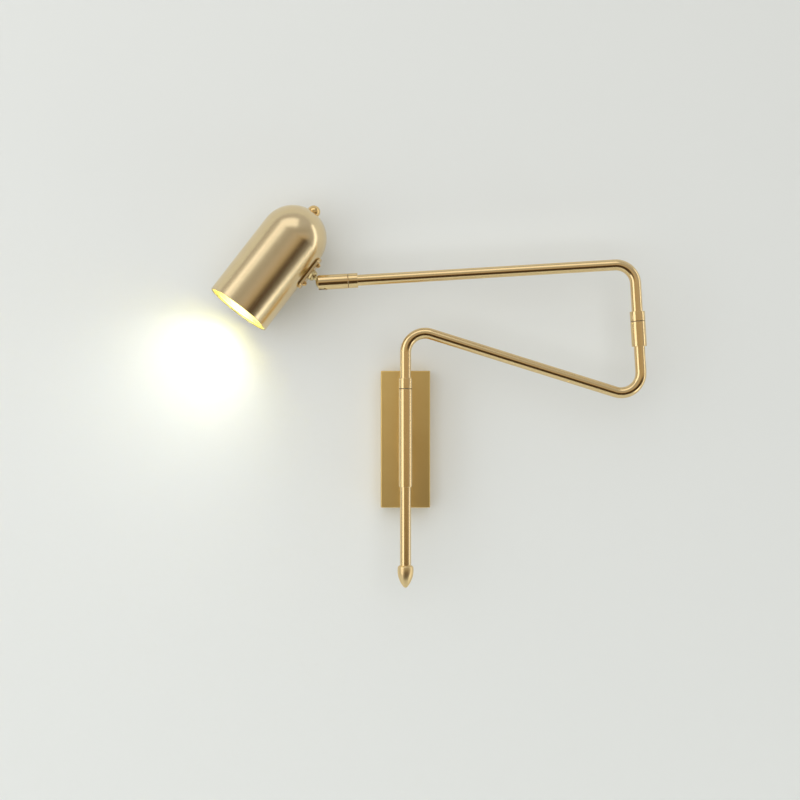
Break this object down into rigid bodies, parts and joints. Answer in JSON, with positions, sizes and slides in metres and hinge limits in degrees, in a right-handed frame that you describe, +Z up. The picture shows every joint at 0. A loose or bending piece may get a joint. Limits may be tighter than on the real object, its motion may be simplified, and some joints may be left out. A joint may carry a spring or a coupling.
{
  "type": "swing-arm wall lamp",
  "caption": "Wall lamp with a rectangular canopy, a swivelling double tube arm with an elbow, and a bullet shade on a ball-and-cup joint.",
  "frame": {"origin": "middle of the canopy's footprint on the wall", "axes": "+Z up, +Y into the wall, so that the lamp stands out along -Y; +X to the right as seen from the room"},
  "size_m": [0.3923, 0.0759, 0.3456],
  "materials": {
    "brass_satin": "satin, aged",
    "brass_gloss": "glossy, aged",
    "brass_brushed": "brushed along its length",
    "brass_contact": "plain",
    "steel": "zinc-plated",
    "nylon": "matte",
    "cable": "matte sheath",
    "porcelain": "glazed",
    "bulb_metal": "satin",
    "bulb_glass": "opal"
  },
  "bodies": {
    "wall_base": {"canopy": "brass_satin", "mounting_strap": "steel", "canopy_screws": "brass_satin", "earth_screw": "brass_satin", "terminal_block": "porcelain", "base_cable": "cable", "post_stem": "brass_gloss", "stem_washer": "steel", "stem_nut": "brass_gloss", "post_sleeve": "brass_gloss", "stop_screw": "steel", "post_washer": "nylon"},
    "lower_arm": {"lower_arm_tube": "brass_gloss", "post_ring": "brass_gloss", "ring_screw": "steel", "finial": "brass_gloss", "elbow_sleeve": "brass_gloss", "elbow_bush": "nylon", "elbow_washer": "nylon", "lower_cable": "cable"},
    "upper_arm": {"upper_arm_tube": "brass_gloss", "elbow_ring": "brass_gloss", "elbow_spindle": "steel", "spindle_nut": "steel", "cup_ring": "brass_gloss", "cup_spindle": "steel", "cup_circlip": "steel", "upper_cable": "cable"},
    "cup": {"ball_cup": "brass_gloss", "cup_washer": "nylon", "cup_plug": "brass_gloss", "seat_spring": "steel", "ball_seat": "nylon"},
    "ball": {"ball_neck": "brass_gloss", "neck_nut": "steel", "neck_leads": "cable"},
    "head": {"bracket_plate": "brass_gloss", "bracket_screws": "brass_gloss", "bracket_nuts": "steel", "saddle_washer": "brass_gloss", "shade": "brass_brushed", "cap_nut": "brass_gloss", "nipple": "steel", "lock_nut": "steel", "lampholder": "porcelain", "screw_shell": "brass_contact", "centre_contact": "brass_contact", "holder_leads": "cable", "bulb_cap": "bulb_metal", "bulb_globe": "bulb_glass"}
  },
  "joints": [
    {"name": "post_swivel", "type": "hinge", "parent": "wall_base", "child": "lower_arm", "pos_m": [0, -0.0422, 0], "axis": [0, 0, 1], "range_deg": [-180, 0]},
    {"name": "elbow_swivel", "type": "hinge", "parent": "lower_arm", "child": "upper_arm", "pos_m": [0.21355, -0.0422, 0.03544], "axis": [-0.0597, 0, 0.9982], "range_deg": [-175, 175]},
    {"name": "head_swivel", "type": "hinge", "parent": "upper_arm", "child": "cup", "pos_m": [-0.07511, -0.0422, 0.1417], "axis": [-0.9982, 0, -0.0597], "range_deg": [-175, 175]},
    {"name": "head_tilt", "type": "hinge", "parent": "cup", "child": "ball", "pos_m": [-0.07511, -0.0422, 0.1417], "axis": [-0.0104, -0.9848, 0.1733], "range_deg": [-1.5, 124]},
    {"name": "head_roll", "type": "hinge", "parent": "ball", "child": "head", "pos_m": [-0.07511, -0.0422, 0.1417], "axis": [-0.8025, 0.1116, 0.5862], "range_deg": [-175, 175]}
  ]
}
